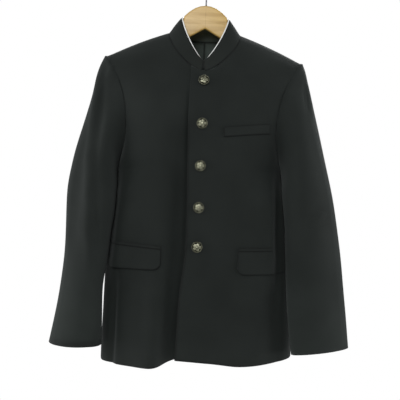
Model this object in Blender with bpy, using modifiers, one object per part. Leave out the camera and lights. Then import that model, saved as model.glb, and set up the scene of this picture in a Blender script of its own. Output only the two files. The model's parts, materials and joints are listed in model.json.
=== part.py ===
"""A school uniform jacket with a stand collar, hung on a wooden hanger.

Sizes are in millimetres. x runs to the wearer's left, y to the back and z up, and the origin is the
inside top of the hook, where a rail carries the hanger. Left and right are the wearer's.
"""

import math
from collections import namedtuple

import bmesh
import bpy
import numpy as np

MM = 0.001
LEFT = 1
RIGHT = -1

# Cloth and seams
CLOTH = 1.8
COLLAR_CLOTH = 2.4
TRIM_CLOTH = 1.4
SEAM = 0.3
TRIM_OFFSET = 0.7
LAP_OFFSET = 2.7

# Seam points
SHOULDER_X = 198.5
SHOULDER_Z = -182.0
UNDERARM_Z = -405.0
NECK_X = 74.0
NECK_Z = -129.0
FRONT_NECK_Y = -71.0
FRONT_NECK_Z = -215.5
BACK_NECK_Y = 55.0
BACK_NECK_Z = -136.0
HEM_Z = -800.0
ARMHOLE_FRONT = 62.0
ARMHOLE_BACK = 55.0
ARMHOLE_FRONT_BOW = 30.5
ARMHOLE_BACK_BOW = 22.5
SHOULDER_CROWN = 3.0

# Curves of the body: powers of its sections, of the neck and of the armhole, and how rows fan above them
SIDE_ROUND = 2.4
BACK_ROUND = 2.6
SIDE_BLEND = 120.0
NECK_CURVE = 1.38
NECK_DEPTH_CURVE = 0.9
SCOOP_CURVE = 1.5
FRONT_BULGE = (2.2, 1.1)
BACK_BULGE = (2.4, 1.1)
LAP_FADE = (75.0, 35.0)
LAP_NECK_FADE = (60.0, 20.0)

# Body sections from the hem to the neck
Section = namedtuple("Section", "z right_x left_x side_y front_y back_y fold")
BODY = (
    Section(-815, 189, 207, 10, -100, 70, 1.00),
    Section(-750, 189, 204, 11, -99, 69, 0.85),
    Section(-650, 188, 198, 13, -97, 67, 0.55),
    Section(-550, 184, 191, 15, -96, 65, 0.36),
    Section(-470, 174.5, 180, 13, -95, 64, 0.26),
    Section(-435, 169, 171, 9, -95, 65, 0.22),
    Section(-405, 169, 169, 5, -95, 66, 0.18),
    Section(-320, 169, 169, 5, -94, 68, 0.10),
    Section(-280, 169, 169, 5, -90.5, 68, 0.00),
    Section(-250, 169, 169, 5, -84.4, 68, 0.00),
    Section(-230, 169, 169, 5, -77.8, 67, 0.00),
    Section(-215.5, 169, 169, 5, -71, 66, 0.00),
    Section(-136, 169, 169, 5, -60, 55, 0.00),
)

# Long folds of the fronts: where, how wide and how far out or in, times the section's fold
RIDGE_X = -84.0
RIDGE_HALF = 30.0
RIDGE_OUT = 15.0
VALLEY_X = -42.0
VALLEY_HALF = 17.0
VALLEY_IN = 24.0
HEM_FOLD_X = 163.0
HEM_FOLD_HALF = 18.0
HEM_FOLD_IN = 9.0
HEM_FOLD_Z = (-620.0, -780.0)

# Front edges: x of the left front's visible edge and of the right front's hidden one
Edge = namedtuple("Edge", "z left_edge right_edge")
FRONT_EDGES = (
    Edge(-815, -33.0, -4.0),
    Edge(-670, -29.4, 6.0),
    Edge(-610, -23.5, 14.0),
    Edge(-550, -19.6, 20.0),
    Edge(-470, -21.5, 22.0),
    Edge(-400, -23.5, 22.0),
    Edge(-310, -25.6, 22.0),
    Edge(-213, -23.8, 21.0),
)

# Hem heights along each front, from the side seam to the front edge
Hem = namedtuple("Hem", "x z")
LEFT_HEM = (Hem(-36, -788), Hem(40, -792), Hem(95, -797), Hem(150, -793), Hem(206.5, -783))
RIGHT_HEM = (Hem(-189.0, -804), Hem(-140, -806), Hem(-85, -805), Hem(-60, -801), Hem(-38, -792),
             Hem(0, -790))

# Rings of a sleeve below the armhole: its outer and inner edge and its half depth
Ring = namedtuple("Ring", "outer_x outer_y outer_z inner_x inner_y inner_z depth bow")
RIGHT_SLEEVE = (
    Ring(204.0, 0, -182.5, 170.4, 3, -408, 63, 28),
    Ring(211.5, 0, -199, 170.0, 0, -413, 64, 24),
    Ring(219.5, -2, -226, 169.8, -6, -420, 65, 18),
    Ring(227.5, -5, -270, 168.8, -20, -431, 66, 11),
    Ring(244.0, -10, -335, 166.5, -42, -452, 62, 5),
    Ring(259.0, -15, -400, 166.0, -57, -478, 58, 0),
    Ring(268.0, -20, -470, 168.5, -60, -520, 54, 0),
    Ring(266.0, -30, -575, 178.0, -64, -596, 48, 0),
    Ring(274.0, -36, -675, 188.0, -68, -665, 43, 0),
    Ring(290.0, -40, -769, 186.5, -70, -766, 38, 0),
)
LEFT_SLEEVE = (
    Ring(204.0, 0, -182.5, 170.4, 3, -408, 63, 28),
    Ring(210.5, 0, -199, 170.2, 0, -413, 64, 24),
    Ring(217.5, -2, -226, 170.6, -6, -420, 65, 18),
    Ring(229.0, -5, -270, 170.6, -20, -431, 66, 11),
    Ring(245.0, -10, -335, 170.6, -42, -452, 62, 5),
    Ring(261.0, -15, -400, 172.5, -57, -478, 58, 0),
    Ring(279.0, -20, -478, 176.5, -60, -520, 53, 0),
    Ring(292.0, -30, -560, 181.0, -63, -590, 45, 0),
    Ring(304.0, -36, -655, 189.0, -66, -680, 37, 0),
    Ring(316.0, -42, -757, 200.5, -70, -771, 30, 0),
)

CUFF_DROP = {LEFT: 0.5, RIGHT: 4.5}
CUFF_RINGS = (5, 9)
BACK_BOW_SHARE = 0.75
BACK_SLEEVE_SEAM = 266.0
CAP_ROWS = 9
CAP_SEAM = 0.51
CAP_BLEND_RINGS = 4

# Long creases of the sleeves, as a groove at an angle round the ring between two heights
Groove = namedtuple("Groove", "side angle half_angle top_z bottom_z depth")
GROOVES = (
    Groove(RIGHT, 58, 20, -235, -585, 7.0),
    Groove(LEFT, 40, 16, -195, -300, 5.0),
)

# Collar
COLLAR_TOP_X = 50.7
COLLAR_TOP_Z = -96.0
COLLAR_FRONT_TOP_Y = -47.0
COLLAR_FRONT_TOP_Z = -191.0
COLLAR_BACK_TOP_Y = 45.0
COLLAR_BACK_TOP_Z = -97.0
COLLAR_SIDE_TOP_Y = 2.0
COLLAR_END_X = 1.0
COLLAR_END_ANGLE = 4.5
COLLAR_CURVE = 1.56
COLLAR_ROWS = 3
COLLAR_INSIDE = (0.0, -6.0, -230.0)
COLLAR_END_RISE = 0.12
PIPING_RISE = 0.7
PIPING_RADIUS = 1.5

# Pockets on the fronts
WELT_INNER_X = 45.4
WELT_OUTER_X = 136.7
WELT_INNER_Z = -345.4
WELT_OUTER_Z = -334.0
WELT_HEIGHT = 19.0
Pocket = namedtuple("Pocket", "side inner_x outer_x inner_z outer_z flap_height")
POCKETS = (
    Pocket(LEFT, 83.0, 184.0, -570.0, -565.5, 46.0),
    Pocket(RIGHT, -69.0, -176.0, -572.0, -564.5, 40.0),
)
JET_HEIGHT = 6.0
FLAP_CORNER = 15.0
CORNER_SHARE = 0.92
TRIM_COLUMNS = 14

# Buttons
BUTTON_X = 2.0
BUTTON_Z = (-235.5, -321.0, -404.5, -486.5, -564.0)
BUTTON_RADIUS = 10.5
BUTTON_STAND = 0.4
BUTTON_SHANK = 1.4
BUTTON_STEPS = 14
Turn = namedtuple("Turn", "radius height")
BUTTON = (
    Turn(0, 5.4), Turn(4.0, 5.0), Turn(7.4, 3.7), Turn(9.2, 2.2), Turn(10.0, 2.5), Turn(BUTTON_RADIUS, 1.9),
    Turn(10.0, 0.9), Turn(2.2, 0.6), Turn(2.2, -BUTTON_SHANK), Turn(0, -BUTTON_SHANK),
)

# Hanger
WOOD_HALF = 5.5
WOOD_TIP_X = 182.0
WOOD_ARM = 25.0
WOOD_TOP_Z = -70.0
WOOD_NOTCH_Z = -117.6
WOOD_ARM_X = 70.0
WOOD_TIP_ROUND = 12.0
WOOD_CLEAR = 0.4
WIRE_RADIUS = 1.8
HOOK_RADIUS = 20.0
HOOK_START = -58.0
HOOK_SWEEP = 262.0
HOOK_STEPS = 14
Place = namedtuple("Place", "x z")
WOOD_TOP = (
    Place(0, WOOD_TOP_Z), Place(11, -71.3), Place(22, -75.5), Place(34, -83.5), Place(43.8, -92.8),
    Place(44.8, -97.0), Place(46.5, -103.0), Place(50.5, -111.0), Place(57, -121.0),
)
WOOD_UNDER = (Place(104, -174.0), Place(60, -152.5), Place(28, -134.0), Place(0, WOOD_NOTCH_Z))
HOOK_STEM = (Place(0, -69.7), Place(0, -58), Place(0.6, -51), Place(2.6, -45), Place(6.0, -40.5))

# Colours
BODY_BLACK = (0.022, 0.024, 0.023)
SLEEVE_BLACK = (0.023, 0.025, 0.024)
TRIM_BLACK = (0.025, 0.027, 0.026)
CORD_WHITE = (0.8, 0.79, 0.76)
BRASS = (0.36, 0.28, 0.14)
WOOD = (0.62, 0.42, 0.20)
STEEL = (0.55, 0.56, 0.58)

# Grid sizes
LOWER_ROWS = 11
FRONT_ARM_ROWS = 7
NECK_ROWS = 7
BACK_ARM_ROWS = 4
BACK_RISE_ROWS = 4
FRONT_COLUMNS = 15
FRONT_SPACING = 1.35
BACK_COLUMNS = 8
BACK_SPACING = 1.5
BACK_FAN_Z = -300.0
SLEEVE_RINGS = 15
SLEEVE_SPACING = 1.05
WIRE_SIDES = 1


def column(rows, name):
    return np.array([getattr(row, name) for row in rows], float)


def smooth(keys, values, at):
    """Value at a place on the curve through the points, which never swings past them."""
    order = np.argsort(keys)
    keys = np.asarray(keys, float)[order]
    values = np.asarray(values, float)[order]
    step = np.diff(keys)
    slope = np.diff(values) / step
    tangent = np.zeros(len(values))
    tangent[0] = slope[0]
    tangent[-1] = slope[-1]
    for i in range(1, len(values) - 1):
        if slope[i - 1] * slope[i] > 0:
            tangent[i] = 2 * slope[i - 1] * slope[i] / (slope[i - 1] + slope[i])
    at = min(max(at, keys[0]), keys[-1])
    i = min(max(int(np.searchsorted(keys, at, "right")) - 1, 0), len(step) - 1)
    t = (at - keys[i]) / step[i]
    return (
        values[i] * (1 + 2 * t) * (1 - t) ** 2
        + tangent[i] * step[i] * t * (1 - t) ** 2
        + values[i + 1] * t * t * (3 - 2 * t)
        - tangent[i + 1] * step[i] * t * t * (1 - t)
    )


def section(name, z):
    return smooth(column(BODY, "z"), column(BODY, name), z)


def ramp(value, start, end):
    """0 at start, 1 at end, with a soft change between."""
    t = min(max((value - start) / (end - start), 0.0), 1.0)
    return t * t * (3 - 2 * t)


def bell(distance, width):
    return math.exp(-((distance / width) ** 2))


def unit(vector):
    return vector / np.linalg.norm(vector)


# Seams

def side_x(side, z):
    return section("left_x", z) if side == LEFT else -section("right_x", z)


def underarm(side):
    return np.array([side_x(side, UNDERARM_Z), section("side_y", UNDERARM_Z), UNDERARM_Z])


def scoop(t):
    """Share of an armhole's inward bow, fullest in its lower front quarter."""
    swing = abs(math.sin(t))
    return swing**SCOOP_CURVE if 90 < math.degrees(t) < 180 else swing**2


def armhole(side, degrees):
    """Point of the armhole seam: 0 at the shoulder, 90 in front, 180 under the arm, 270 behind."""
    t = math.radians(degrees)
    low = underarm(side)
    down = (1 - math.cos(t)) / 2
    front = math.sin(t) > 0
    reach = ARMHOLE_FRONT if front else ARMHOLE_BACK
    bow = ARMHOLE_FRONT_BOW if front else ARMHOLE_BACK_BOW
    x = side * SHOULDER_X + (low[0] - side * SHOULDER_X) * down - side * bow * scoop(t)
    y = low[1] * down - reach * math.sin(t)
    return np.array([x, y, SHOULDER_Z + (UNDERARM_Z - SHOULDER_Z) * down])


def armhole_inward(side, degrees):
    """Direction of the cloth's thickness at the armhole, the same on the body and the sleeve."""
    point = armhole(side, degrees)
    middle = (SHOULDER_Z + UNDERARM_Z) / 2
    return unit(np.array([0.0, -point[1], middle - point[2]]))


def armhole_angle(z):
    middle = (SHOULDER_Z + UNDERARM_Z) / 2
    half = (SHOULDER_Z - UNDERARM_Z) / 2
    return math.degrees(math.acos(min(max((z - middle) / half, -1.0), 1.0)))


def lap_lift(side, x):
    """How far the left front stands out where it laps over the right one."""
    return LAP_OFFSET * ramp(x, *LAP_FADE) if side == LEFT else 0.0


def neck_front(side, share):
    """Front neck seam, from the collar's end at 0 to the shoulder seam at 1."""
    t = math.radians(COLLAR_END_ANGLE + (90 - COLLAR_END_ANGLE) * share)
    c = max(math.cos(t), 0.0)
    x = side * NECK_X * math.sin(t) ** NECK_CURVE
    y = FRONT_NECK_Y * c**NECK_DEPTH_CURVE - lap_lift(side, x) * c
    return np.array([x, y, NECK_Z + (FRONT_NECK_Z - NECK_Z) * c**NECK_CURVE])


def neck_back(side, share):
    """Back neck seam, from centre back at 0 to the shoulder seam at 1."""
    t = math.radians(90 * share)
    c = max(math.cos(t), 0.0)
    return np.array([side * NECK_X * math.sin(t), BACK_NECK_Y * c, NECK_Z + (BACK_NECK_Z - NECK_Z) * c])


# Front and back surfaces

def front_y(side, x, z):
    """Depth of a front's outer face at a place below the neck."""
    if z <= UNDERARM_Z:
        edge_x = side_x(side, z)
        edge_y = section("side_y", z)
        power = SIDE_ROUND
    else:
        edge_x, edge_y, _ = armhole(side, armhole_angle(z))
        power = SIDE_ROUND + (1.0 - SIDE_ROUND) * ramp(z, UNDERARM_Z, UNDERARM_Z + SIDE_BLEND)
    crown = section("front_y", z)
    share = min(max((edge_x - x) / edge_x, 0.0), 1.0)
    y = edge_y + (crown - edge_y) * (1 - (1 - share) ** SIDE_ROUND) ** (1 / power)
    fold = section("fold", z)
    if side == RIGHT:
        y -= RIDGE_OUT * fold * bell(x - RIDGE_X, RIDGE_HALF)
        y += VALLEY_IN * fold * (bell(x - VALLEY_X, VALLEY_HALF) if x < VALLEY_X else 1.0)
    else:
        y += HEM_FOLD_IN * ramp(z, *HEM_FOLD_Z) * bell(x - HEM_FOLD_X, HEM_FOLD_HALF)
        y -= lap_lift(side, x)
    return y


def front_normal(side, x, z):
    slope_x = (front_y(side, x + 1, z) - front_y(side, x - 1, z)) / 2
    slope_z = (front_y(side, x, z + 1) - front_y(side, x, z - 1)) / 2
    return unit(np.array([slope_x, -1.0, slope_z]))


def triangle_y(a, b, c, x, z):
    """Depth of a flat triangle at x and z, or None beside it."""
    base = np.array([[b[0] - a[0], c[0] - a[0]], [b[2] - a[2], c[2] - a[2]]])
    if abs(np.linalg.det(base)) < 1e-6:
        return None
    s, t = np.linalg.solve(base, np.array([x - a[0], z - a[2]]))
    if min(s, t, 1 - s - t) < -1e-6:
        return None
    return a[1] + s * (b[1] - a[1]) + t * (c[1] - a[1])


def on_front(side, x, z, out):
    """Point over a front's outermost facet there, moved out along the front's normal."""
    grid = FRONT_GRIDS[side]
    depth = []
    low = np.minimum.reduce([grid[:-1, :-1], grid[1:, :-1], grid[:-1, 1:], grid[1:, 1:]])
    high = np.maximum.reduce([grid[:-1, :-1], grid[1:, :-1], grid[:-1, 1:], grid[1:, 1:]])
    near = (low[..., 0] <= x) & (x <= high[..., 0]) & (low[..., 2] <= z) & (z <= high[..., 2])
    for i, k in zip(*np.nonzero(near)):
        a, b, c, d = grid[i, k], grid[i, k + 1], grid[i + 1, k + 1], grid[i + 1, k]
        for corners in ((a, b, c), (a, c, d), (a, b, d), (b, c, d)):
            found = triangle_y(*corners, x, z)
            if found is not None:
                depth.append(found)
    y = min(depth) if depth else front_y(side, x, z)
    return np.array([x, y, z]) + out * front_normal(side, x, z)


def back_y(side, x, z):
    if z <= UNDERARM_Z:
        edge_x = side_x(side, z)
        edge_y = section("side_y", z)
        power = SIDE_ROUND
    else:
        edge_x, edge_y, _ = armhole(side, 360 - armhole_angle(z))
        power = SIDE_ROUND + (1.0 - SIDE_ROUND) * ramp(z, UNDERARM_Z, UNDERARM_Z + SIDE_BLEND)
    share = min(max((edge_x - x) / edge_x, 0.0), 1.0)
    crown = section("back_y", z)
    return edge_y + (crown - edge_y) * (1 - (1 - share) ** BACK_ROUND) ** (1 / power)


def hem_drop(side, x, z, back):
    """How far a row near the hem is moved so that the last one follows the hem."""
    fade = ramp(z, UNDERARM_Z, HEM_Z) ** 2
    if back:
        ends = (side_x(RIGHT, z), side_x(LEFT, z))
        target = np.interp(x, ends, (RIGHT_HEM[0].z, LEFT_HEM[-1].z))
    else:
        table = LEFT_HEM if side == LEFT else RIGHT_HEM
        if x * side > 0:
            x *= side_x(side, HEM_Z) / side_x(side, z)
        target = smooth(column(table, "x"), column(table, "z"), x)
    return (target - HEM_Z) * fade


def front_angles():
    """Armhole angles of the front's rows, from under the arm to the shoulder."""
    turn = armhole_angle(FRONT_NECK_Z)
    lower = np.linspace(180, turn, FRONT_ARM_ROWS + 1)
    return np.concatenate([lower, np.linspace(turn, 0, NECK_ROWS + 1)[1:]])


def back_angles():
    """Armhole angles of the back's rows, from under the arm to the shoulder."""
    turn = armhole_angle(BACK_FAN_Z)
    lower = np.linspace(180, turn, BACK_ARM_ROWS + 1)
    return 360 - np.concatenate([lower, np.linspace(turn, 0, BACK_RISE_ROWS + NECK_ROWS + 1)[1:]])


def fan_row(start, end, columns, bulge, crown):
    """Row between two edge points, bulging out as it leaves the armhole."""
    row = []
    for i in range(columns + 1):
        s = i / columns
        point = start + (end - start) * s
        point[1] = start[1] + (end[1] - start[1]) * (1 - (1 - s) ** bulge)
        point[2] += crown * math.sin(math.pi * s)
        row.append(point)
    return row


def front_grid(side):
    """Outer face of a front, in rows from the hem up and columns from the side to the front edge."""
    rows = []
    edges = column(FRONT_EDGES, "left_edge" if side == LEFT else "right_edge")
    heights = list(np.linspace(HEM_Z, UNDERARM_Z, LOWER_ROWS + 1))
    angles = front_angles()
    heights += [armhole(side, angle)[2] for angle in angles[1:FRONT_ARM_ROWS + 1]]
    for z in heights:
        if z <= UNDERARM_Z:
            start_x = side_x(side, z)
        else:
            start_x = armhole(side, armhole_angle(z))[0]
        end_x = smooth(column(FRONT_EDGES, "z"), edges, z)
        row = []
        for i in range(FRONT_COLUMNS + 1):
            s = (i / FRONT_COLUMNS) ** FRONT_SPACING
            x = start_x + (end_x - start_x) * s
            place = z + hem_drop(side, x, z, False)
            if z <= UNDERARM_Z:
                x += (side_x(side, place) - start_x) * (1 - s)
            row.append(np.array([x, front_y(side, x, place), place]))
        rows.append(row)
    for i in range(1, NECK_ROWS + 1):
        share = i / NECK_ROWS
        start = armhole(side, angles[FRONT_ARM_ROWS + i])
        bulge = FRONT_BULGE[0] + (FRONT_BULGE[1] - FRONT_BULGE[0]) * share
        row = fan_row(start, neck_front(side, share), FRONT_COLUMNS, bulge, SHOULDER_CROWN * share)
        for point in row:
            point[1] -= lap_lift(side, point[0]) * (1 - share) * ramp(point[0], *LAP_NECK_FADE)
        row[-1] = neck_front(side, share)
        rows.append(row)
    return np.array(rows)


def back_grid(side):
    """Outer face of a back half, in rows from the hem up and columns from the side to centre back."""
    rows = []
    angles = back_angles()
    heights = list(np.linspace(HEM_Z, UNDERARM_Z, LOWER_ROWS + 1))
    heights += [armhole(side, angle)[2] for angle in angles[1:BACK_ARM_ROWS + 1]]
    for z in heights:
        if z <= UNDERARM_Z:
            start_x = side_x(side, z)
        else:
            start_x = armhole(side, 360 - armhole_angle(z))[0]
        row = []
        for i in range(BACK_COLUMNS + 1):
            s = (i / BACK_COLUMNS) ** BACK_SPACING
            x = start_x * (1 - s)
            place = z + hem_drop(side, x, z, True)
            if z <= UNDERARM_Z:
                x += (side_x(side, place) - start_x) * (1 - s)
            row.append(np.array([x, back_y(side, x, place), place]))
        rows.append(row)
    fan = BACK_RISE_ROWS + NECK_ROWS
    for i in range(1, fan + 1):
        start = armhole(side, angles[BACK_ARM_ROWS + i])
        if i <= BACK_RISE_ROWS:
            z = BACK_FAN_Z + (BACK_NECK_Z - BACK_FAN_Z) * i / BACK_RISE_ROWS
            end = np.array([0.0, section("back_y", z), z])
        else:
            end = neck_back(side, (i - BACK_RISE_ROWS) / NECK_ROWS)
        bulge = BACK_BULGE[0] + (BACK_BULGE[1] - BACK_BULGE[0]) * i / fan
        rows.append(fan_row(start, end, BACK_COLUMNS, bulge, SHOULDER_CROWN * i / fan))
    return np.array(rows)


def inward(grid, wrap):
    """Unit directions into the cloth, from the slopes of a grid. wrap joins its last column to its first."""
    across = np.gradient(grid, axis=1)
    if wrap:
        across = (np.roll(grid, -1, axis=1) - np.roll(grid, 1, axis=1)) / 2
    along = np.gradient(grid, axis=0)
    normal = np.cross(across, along)
    return normal / np.linalg.norm(normal, axis=2, keepdims=True)


def toward(directions, grid, inside):
    """The same directions, turned so that each points to its inside point."""
    facing = (directions * (inside - grid)).sum(axis=2, keepdims=True)
    return np.where(facing < 0, -directions, directions)


def body_wall(side, grid, angles, lower_rows, back):
    """Outer and inner faces of a front or a back half, with its seam edges set to meet their neighbours."""
    inside = grid * np.array([0.8, 0.0, 1.0]) - np.array([0.0, 0.0, 40.0])
    into = toward(inward(grid, False), grid, inside)
    for i in range(lower_rows):
        into[i, 0] = (-side, 0, 0)
    for i, angle in enumerate(angles):
        into[lower_rows + i, 0] = armhole_inward(side, angle)
    into[-1] = (0, 0, -1)
    if back:
        into[:, -1, 0] = 0
        into[:, -1] /= np.linalg.norm(into[:, -1], axis=1, keepdims=True)
        into[-1, -1] = (0, 0, -1)
    outer = grid.copy()
    gap = np.array([0, SEAM / 2 if back else -SEAM / 2, 0])
    outer[:lower_rows + 1, 0] += gap
    outer[-1] += gap
    if back:
        outer[:-NECK_ROWS, -1, 0] += side * SEAM / 2
    return outer, outer + into * CLOTH


# Sleeves

def sleeve_angles():
    """Angles round a sleeve, which are those of the body's rows, from the shoulder forward."""
    return np.concatenate([front_angles()[::-1], back_angles()[1:-1]])


def sleeve_ring(side, place, angles):
    table = LEFT_SLEEVE if side == LEFT else RIGHT_SLEEVE
    keys = np.arange(len(table))
    ring = Ring(*[smooth(keys, column(table, name), place) for name in Ring._fields])
    outer = np.array([side * ring.outer_x, ring.outer_y, ring.outer_z])
    inner = np.array([side * ring.inner_x, ring.inner_y, ring.inner_z])
    middle = (outer + inner) / 2
    points = []
    for degrees in angles:
        t = math.radians(degrees)
        swing = math.sin(t)
        point = middle + (outer - inner) / 2 * math.cos(t)
        point[1] -= ring.depth * swing
        point[0] -= side * ring.bow * scoop(t) * (1.0 if swing > 0 else BACK_BOW_SHARE)
        point[2] -= CUFF_DROP[side] * max(swing, 0.0) * ramp(place, *CUFF_RINGS)
        for groove in GROOVES:
            if groove.side == side:
                fade = ramp(point[2], groove.top_z + 20, groove.top_z - 40)
                fade *= ramp(point[2], groove.bottom_z - 10, groove.bottom_z + 60)
                depth = groove.depth * fade * bell(degrees - groove.angle, groove.half_angle)
                point += depth * unit(middle - point)
        points.append(point)
    return points


def sleeve_tube(side, rings):
    """Outer and inner faces of a whole sleeve, ring 0 on the armhole and the last at the cuff."""
    angles = sleeve_angles()
    points = [[armhole(side, angle) + np.array([side * SEAM, 0, 0]) for angle in angles]]
    last = len(LEFT_SLEEVE) - 1
    for i in range(rings + 1):
        points.append(sleeve_ring(side, last * (i / rings) ** SLEEVE_SPACING, angles))
    grid = np.array(points)
    into = inward(grid, True) * -side
    for i in range(CAP_BLEND_RINGS):
        share = i / CAP_BLEND_RINGS
        for k, angle in enumerate(angles):
            into[i, k] = unit(armhole_inward(side, angle) * (1 - share) + into[i, k] * share)
    return grid, into


def sleeve_half(grid, into, columns):
    """The columns of a sleeve between its two long seams, each edge drawn in by half a seam."""
    outer = grid[:, columns].copy()
    into = into[:, columns]
    for edge, neighbour in ((0, 1), (-1, -2)):
        way = outer[:, neighbour] - outer[:, edge]
        gap = np.full((len(outer), 1), SEAM / 2)
        gap[:CAP_ROWS] = CAP_SEAM
        outer[:, edge] += way / np.linalg.norm(way, axis=1, keepdims=True) * gap
    return outer, outer + into * CLOTH


# Collar

def collar_stations():
    """Side, share along the neck seam and whether it is the back, from the left end round to the right."""
    steps = [i / NECK_ROWS for i in range(NECK_ROWS + 1)]
    left = [(LEFT, share, False) for share in steps] + [(LEFT, share, True) for share in steps[-2::-1]]
    right = [(RIGHT, share, True) for share in steps[1:]] + [(RIGHT, share, False) for share in steps[-2::-1]]
    return left + right


def collar_top(side, share, back):
    """Top edge of the collar over the same place of the neck seam."""
    if back:
        t = math.radians(90 * share)
        c = max(math.cos(t), 0.0)
        y = COLLAR_SIDE_TOP_Y + (COLLAR_BACK_TOP_Y - COLLAR_SIDE_TOP_Y) * c
        z = COLLAR_TOP_Z + (COLLAR_BACK_TOP_Z - COLLAR_TOP_Z) * c
        return np.array([side * COLLAR_TOP_X * math.sin(t), y, z])
    t = math.radians(COLLAR_END_ANGLE + (90 - COLLAR_END_ANGLE) * share)
    c = max(math.cos(t), 0.0)
    x = side * (COLLAR_END_X + (COLLAR_TOP_X - COLLAR_END_X) * math.sin(t) ** COLLAR_CURVE)
    y = COLLAR_SIDE_TOP_Y + (COLLAR_FRONT_TOP_Y - COLLAR_SIDE_TOP_Y) * c**NECK_DEPTH_CURVE
    y -= lap_lift(side, x) * c
    return np.array([x, y, COLLAR_TOP_Z + (COLLAR_FRONT_TOP_Z - COLLAR_TOP_Z) * c**COLLAR_CURVE])


def collar_faces(rows):
    outer = []
    for side, share, back in collar_stations():
        low = neck_back(side, share) if back else neck_front(side, share)
        low = low + np.array([0, 0, SEAM])
        high = collar_top(side, share, back)
        if share == 0 and not back:
            low = low + (high - low) * COLLAR_END_RISE
        outer.append([low + (high - low) * i / rows for i in range(rows + 1)])
    outer = np.array(outer)
    into = toward(inward(outer, False), outer, np.broadcast_to(COLLAR_INSIDE, outer.shape))
    into[:, 0, 2] = 0
    into /= np.linalg.norm(into, axis=2, keepdims=True)
    return outer, outer + into * COLLAR_CLOTH


# Trims on the fronts

def strip_faces(side, inner, outer, height, columns, rows, corner, lift):
    """A strip on a front between two top corners, hanging down by its height, its lower corners rounded."""
    face = []
    back = []
    for i in range(columns + 1):
        s = (1 - math.cos(math.pi * i / columns)) / 2
        x = inner[0] + (outer[0] - inner[0]) * s
        top = inner[1] + (outer[1] - inner[1]) * s
        length = abs(outer[0] - inner[0])
        near = min(s, 1 - s) * length
        rise = corner - math.sqrt(max(corner**2 - (corner - min(near, corner)) ** 2, 0.0)) if corner else 0.0
        low = [top - (height - rise * CORNER_SHARE) * j / rows for j in range(rows + 1)]
        back.append([on_front(side, x, z, lift) for z in low])
        face.append([on_front(side, x, z, lift + TRIM_CLOTH) for z in low])
    return np.array(face), np.array(back)


# Blender objects

def material(name, colour, roughness):
    made = bpy.data.materials.new(name)
    made.use_nodes = True
    shader = made.node_tree.nodes["Principled BSDF"]
    shader.inputs["Base Color"].default_value = (*colour, 1)
    shader.inputs["Roughness"].default_value = roughness
    return made


def add_node(obj, colour, roughness):
    obj.data.materials.append(material(obj.name, colour, roughness))
    group.objects.link(obj)
    return obj


def wall(name, outer, inner, colour, roughness=0.9):
    """A grid extruded to a closed wall, whose two faces take the given points."""
    rows, columns = outer.shape[:2]
    shape = bmesh.new()
    bmesh.ops.create_grid(shape, x_segments=columns - 1, y_segments=rows - 1, size=1)
    where = {}
    for vertex in shape.verts:
        across = round((vertex.co.x + 1) / 2 * (columns - 1))
        along = round((vertex.co.y + 1) / 2 * (rows - 1))
        where[vertex] = (along, across)
    made = bmesh.ops.extrude_face_region(shape, geom=shape.faces[:], use_keep_orig=True)
    copies = [item for item in made["geom"] if isinstance(item, bmesh.types.BMVert)]
    for vertex in copies:
        across = round((vertex.co.x + 1) / 2 * (columns - 1))
        along = round((vertex.co.y + 1) / 2 * (rows - 1))
        vertex.co = inner[along, across] * MM
    for vertex, (along, across) in where.items():
        vertex.co = outer[along, across] * MM
    bmesh.ops.recalc_face_normals(shape, faces=shape.faces[:])
    if shape.calc_volume(signed=True) < 0:
        bmesh.ops.reverse_faces(shape, faces=shape.faces[:])
    mesh = bpy.data.meshes.new(name)
    shape.to_mesh(mesh)
    shape.free()
    return add_node(bpy.data.objects.new(name, mesh), colour, roughness)


def wire(name, points, radius, colour, roughness):
    """A round wire along the points, with closed ends."""
    curve = bpy.data.curves.new(name, "CURVE")
    curve.dimensions = "3D"
    curve.bevel_depth = radius * MM
    curve.bevel_resolution = WIRE_SIDES
    curve.use_fill_caps = True
    spline = curve.splines.new("POLY")
    spline.points.add(len(points) - 1)
    for target, point in zip(spline.points, points):
        target.co = (*(np.asarray(point) * MM), 1)
    return add_node(bpy.data.objects.new(name, curve), colour, roughness)


def turned(name, profile, steps, colour, roughness):
    """A profile of radius and height turned round its own z axis."""
    mesh = bpy.data.meshes.new(name)
    points = [(radius * MM, 0, height * MM) for radius, height in profile]
    mesh.from_pydata(points, [(i, i + 1) for i in range(len(points) - 1)], [])
    obj = bpy.data.objects.new(name, mesh)
    screw = obj.modifiers.new("turn", "SCREW")
    screw.steps = steps
    screw.render_steps = steps
    screw.use_merge_vertices = True
    screw.merge_threshold = 0.0001
    screw.use_normal_calculate = True
    return add_node(obj, colour, roughness)


def hanger_outline():
    """Outline of the wooden hanger's right half in x and z, from the top middle round to the notch."""
    seam = FRONT_GRIDS[LEFT][-1]
    below = FRONT_GRIDS[LEFT][-2]
    share = ((WOOD_HALF + 1.0) / (seam[:, 1] - below[:, 1]))[:, None]
    edge = seam + (below - seam) * share
    arm = []
    for i in range(6):
        x = WOOD_ARM_X + (WOOD_TIP_X - WOOD_TIP_ROUND - WOOD_ARM_X) * i / 5
        arm.append(Place(x, np.interp(x, edge[::-1, 0], edge[::-1, 2]) - CLOTH * 1.2 - WOOD_CLEAR))
    end = arm[-1]
    low = end.z - WOOD_ARM
    tip = []
    for i in range(1, 6):
        t = math.radians(90 - 30 * i)
        z = (end.z + low) / 2 + WOOD_ARM / 2 * math.sin(t)
        tip.append(Place(end.x + WOOD_TIP_ROUND * math.cos(t), z))
    return [*WOOD_TOP, *arm, *tip, Place(end.x, low), *WOOD_UNDER]


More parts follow.
